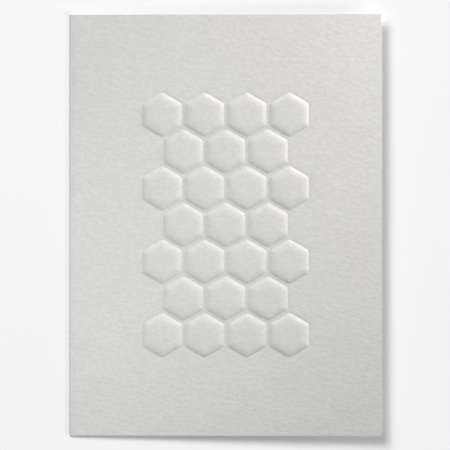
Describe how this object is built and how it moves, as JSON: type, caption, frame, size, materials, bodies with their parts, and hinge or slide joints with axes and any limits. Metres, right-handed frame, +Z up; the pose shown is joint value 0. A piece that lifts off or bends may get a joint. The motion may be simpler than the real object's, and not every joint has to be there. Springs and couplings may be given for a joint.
{
  "type": "greeting card",
  "caption": "Folded greeting card of heavy white felt-marked paper, closed and lying on its back, with a blind-embossed block of cushion-shaped cells on the front.",
  "frame": {"origin": "centre of the closed card's footprint, on the surface that it lies on", "axes": "+X from the fold to the free edges, +Y up the card's height, +Z up, out of the front"},
  "size_m": [0.115, 0.155, 0.0076],
  "materials": {
    "cotton_paper": "matt, felt-marked"
  },
  "bodies": {
    "root": {"card": "cotton_paper"}
  },
  "joints": []
}
